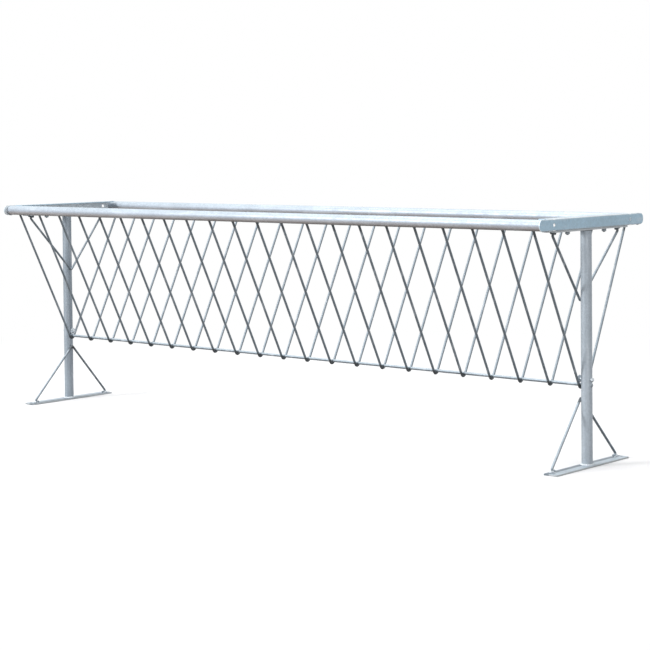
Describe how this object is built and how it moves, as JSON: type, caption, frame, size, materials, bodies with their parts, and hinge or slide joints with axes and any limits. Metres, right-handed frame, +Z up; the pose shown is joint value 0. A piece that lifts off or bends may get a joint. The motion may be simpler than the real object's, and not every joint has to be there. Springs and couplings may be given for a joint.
{
  "type": "hay rack",
  "caption": "Free-standing double-sided hay rack: two posts on flat feet carry two tube rails, and V-shaped round bars hang between the rails over a bottom bar.",
  "frame": {"origin": "on the ground, midway between the two stands", "axes": "+X along the rails, +Y from the front rail to the rear rail, +Z up"},
  "size_m": [3, 0.71, 0.9425],
  "materials": {
    "tube_zinc": "hot-dip galvanised, satin",
    "bar_zinc": "hot-dip galvanised, satin",
    "flat_zinc": "hot-dip galvanised, satin",
    "fastener_zinc": "zinc plated"
  },
  "bodies": {
    "root": {"rail_front": "tube_zinc", "rail_rear": "tube_zinc", "end_member_left": "flat_zinc", "end_member_right": "flat_zinc", "post_left": "tube_zinc", "post_right": "tube_zinc", "base_plate_left": "flat_zinc", "base_plate_right": "flat_zinc", "head_plate_left": "flat_zinc", "head_plate_right": "flat_zinc", "foot_brace_left": "bar_zinc", "foot_brace_right": "bar_zinc", "upper_brace_left": "bar_zinc", "upper_brace_right": "bar_zinc", "bottom_bar": "bar_zinc", "v_bar_01": "bar_zinc", "v_bar_02": "bar_zinc", "v_bar_03": "bar_zinc", "v_bar_04": "bar_zinc", "v_bar_05": "bar_zinc", "v_bar_06": "bar_zinc", "v_bar_07": "bar_zinc", "v_bar_08": "bar_zinc", "v_bar_09": "bar_zinc", "v_bar_10": "bar_zinc", "v_bar_11": "bar_zinc", "v_bar_12": "bar_zinc", "v_bar_13": "bar_zinc", "v_bar_14": "bar_zinc", "v_bar_15": "bar_zinc", "v_bar_16": "bar_zinc", "v_bar_17": "bar_zinc", "v_bar_18": "bar_zinc", "v_bar_19": "bar_zinc", "v_bar_20": "bar_zinc", "v_bar_21": "bar_zinc", "v_bar_22": "bar_zinc", "flange_bolt_left_front": "fastener_zinc", "flange_washer_left_front": "fastener_zinc", "flange_nut_left_front": "fastener_zinc", "flange_bolt_left_rear": "fastener_zinc", "flange_washer_left_rear": "fastener_zinc", "flange_nut_left_rear": "fastener_zinc", "flange_bolt_right_front": "fastener_zinc", "flange_washer_right_front": "fastener_zinc", "flange_nut_right_front": "fastener_zinc", "flange_bolt_right_rear": "fastener_zinc", "flange_washer_right_rear": "fastener_zinc", "flange_nut_right_rear": "fastener_zinc", "post_bolt_left": "fastener_zinc", "head_washer_left": "fastener_zinc", "clamp_washer_left": "fastener_zinc", "post_nut_left": "fastener_zinc", "post_bolt_right": "fastener_zinc", "head_washer_right": "fastener_zinc", "clamp_washer_right": "fastener_zinc", "post_nut_right": "fastener_zinc"}
  },
  "joints": []
}
